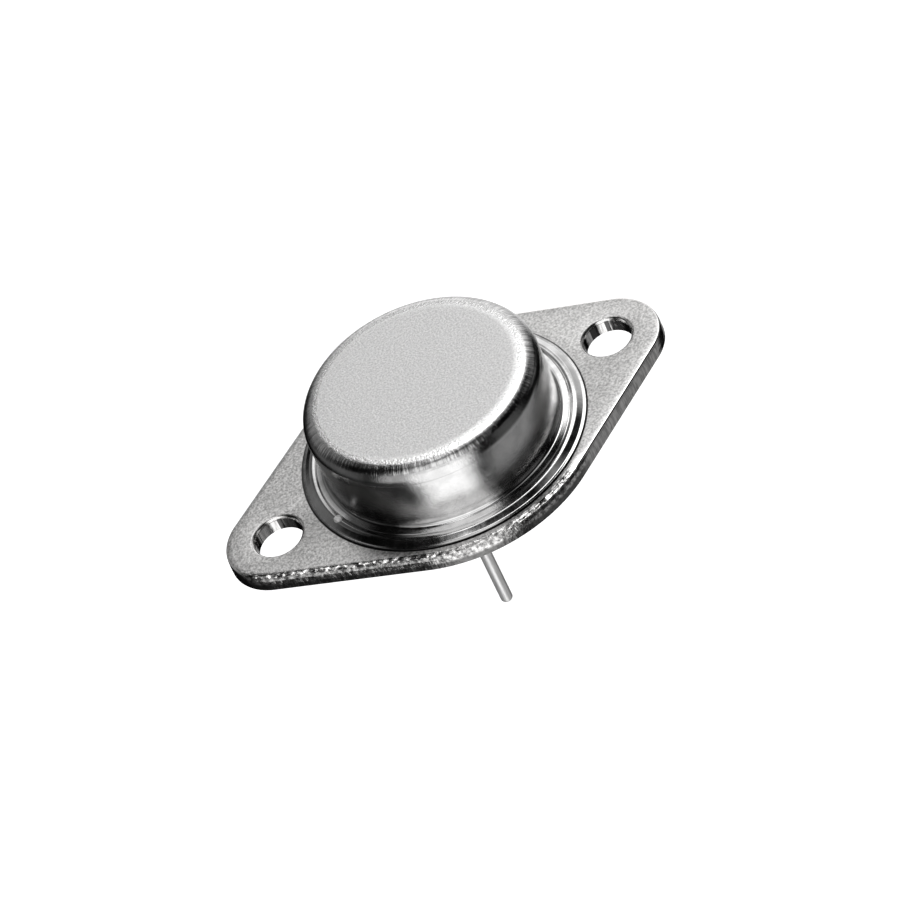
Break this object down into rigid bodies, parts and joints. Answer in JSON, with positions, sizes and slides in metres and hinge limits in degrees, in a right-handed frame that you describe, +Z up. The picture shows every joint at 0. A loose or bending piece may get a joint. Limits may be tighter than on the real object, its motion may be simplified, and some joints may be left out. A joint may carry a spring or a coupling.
{
  "type": "power transistor",
  "caption": "Metal-can power transistor: a round cap welded on a diamond base plate with screw holes, glass-sealed leads below and a wired die inside.",
  "frame": {"origin": "centre of the seating plane, the base plate's underside, midway between the two mounting holes", "axes": "+Z up through the cap; +X along the line of the mounting holes, with the row of leads on the -X side of the centre"},
  "size_m": [0.039, 0.0254, 0.0201],
  "materials": {
    "plate_nickel": "matte",
    "cap_nickel": "satin",
    "lead_nickel": "satin",
    "seal_glass": "gloss",
    "braze": "satin",
    "copper": "satin",
    "solder": "satin",
    "silicon": "gloss",
    "bond_wire": "satin",
    "coating_gel": "gloss"
  },
  "bodies": {
    "root": {"base_plate": "plate_nickel", "cap": "cap_nickel", "emitter_glass_seal": "seal_glass", "base_glass_seal": "seal_glass", "emitter_lead": "lead_nickel", "base_lead": "lead_nickel", "spreader_braze": "braze", "heat_spreader": "copper", "die_solder": "solder", "silicon_die": "silicon", "emitter_wire_outer": "bond_wire", "emitter_wire_inner": "bond_wire", "base_wire": "bond_wire", "die_coating": "coating_gel"}
  },
  "joints": []
}
